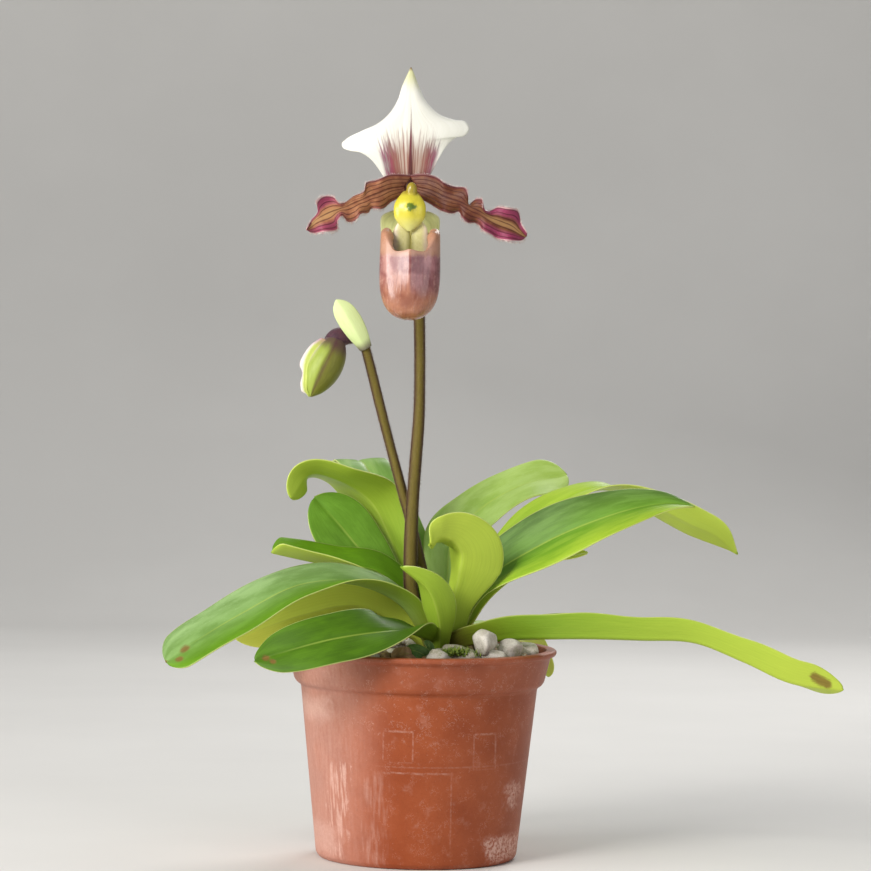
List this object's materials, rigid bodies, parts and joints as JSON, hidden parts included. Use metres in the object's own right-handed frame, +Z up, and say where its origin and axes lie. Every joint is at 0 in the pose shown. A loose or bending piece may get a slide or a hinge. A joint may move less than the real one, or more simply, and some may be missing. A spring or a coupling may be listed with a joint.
{
  "type": "potted slipper orchid",
  "caption": "Slipper orchid in a round tapered pot with a rim band: strap leaves from a crown, one open pouched flower and one nodding bud on separate stems.",
  "frame": {"origin": "middle of the pot's flat base, on the surface the pot stands on", "axes": "+Z up, -Z out of the pot's base; -Y the way the flower looks; +X along the long right-hand leaf"},
  "size_m": [0.2206, 0.1176, 0.2591],
  "materials": {
    "pot": "orange-brown plastic with pale mineral bloom",
    "potting_mix": "damp bark mix, rough",
    "gravel": "mixed white, grey and brown pebbles, matte",
    "crown": "purple-brown to olive leaf sheaths, satin",
    "leaf": "waxy green leaf, satin",
    "stem": "brown-olive stem with short hairs, matte",
    "dorsal_sepal": "white tissue with maroon stripes, velvety",
    "petal": "rose-brown veined tissue, satin",
    "green_sepal": "pale yellow-green tissue, satin",
    "pouch": "rose-brown glossy tissue",
    "column": "yellow waxy tissue with a green spot",
    "bract": "pale yellow-green tissue, satin",
    "bud_neck": "dark purple, matte with short hairs",
    "bud": "green tissue flushed purple at its base, satin"
  },
  "bodies": {
    "root": {"pot": "pot", "potting_mix": "potting_mix", "gravel": "gravel", "crown": "crown", "leaf_long_left": "leaf", "leaf_under_left": "leaf", "leaf_front_left": "leaf", "leaf_mid_left": "leaf", "leaf_round_left": "leaf", "leaf_curled_left": "leaf", "leaf_back_left": "leaf", "leaf_young_front": "leaf", "leaf_centre": "leaf", "leaf_back_right": "leaf", "leaf_big_right": "leaf", "leaf_behind_right": "leaf", "leaf_long_right": "leaf", "leaf_over_back": "leaf", "leaf_short_right": "leaf", "flower_stem": "stem", "bud_stem": "stem", "ovary": "stem", "dorsal_sepal": "dorsal_sepal", "petal_left": "petal", "petal_right": "petal", "synsepal": "green_sepal", "pouch": "pouch", "column": "column", "flower_bract": "bract", "bud_bract": "bract", "bud_neck": "bud_neck", "bud": "bud"}
  },
  "joints": []
}
